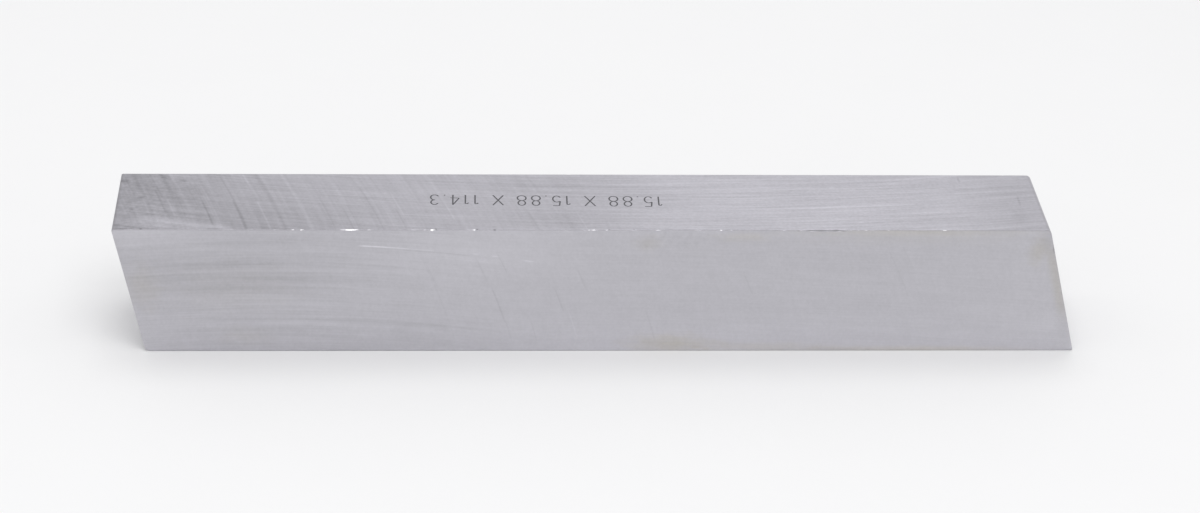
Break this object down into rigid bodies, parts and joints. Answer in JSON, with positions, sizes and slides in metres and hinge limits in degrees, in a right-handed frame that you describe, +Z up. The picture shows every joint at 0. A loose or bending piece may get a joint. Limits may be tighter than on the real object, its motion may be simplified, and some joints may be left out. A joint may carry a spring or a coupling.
{
  "type": "lathe tool bit",
  "caption": "Square ground high-speed steel bar with both ends cut at a slant, the blank that a lathe cutting tool is ground from.",
  "frame": {"origin": "under the middle of the bar, on the face that it lies on", "axes": "+X along the bar towards the end that reaches further out at its foot, +Y to the back, +Z up"},
  "size_m": [0.1142, 0.0158, 0.0159],
  "materials": {
    "tool_steel": "ground, with curved and straight wheel marks"
  },
  "bodies": {
    "root": {"tool_bit": "tool_steel"}
  },
  "joints": []
}
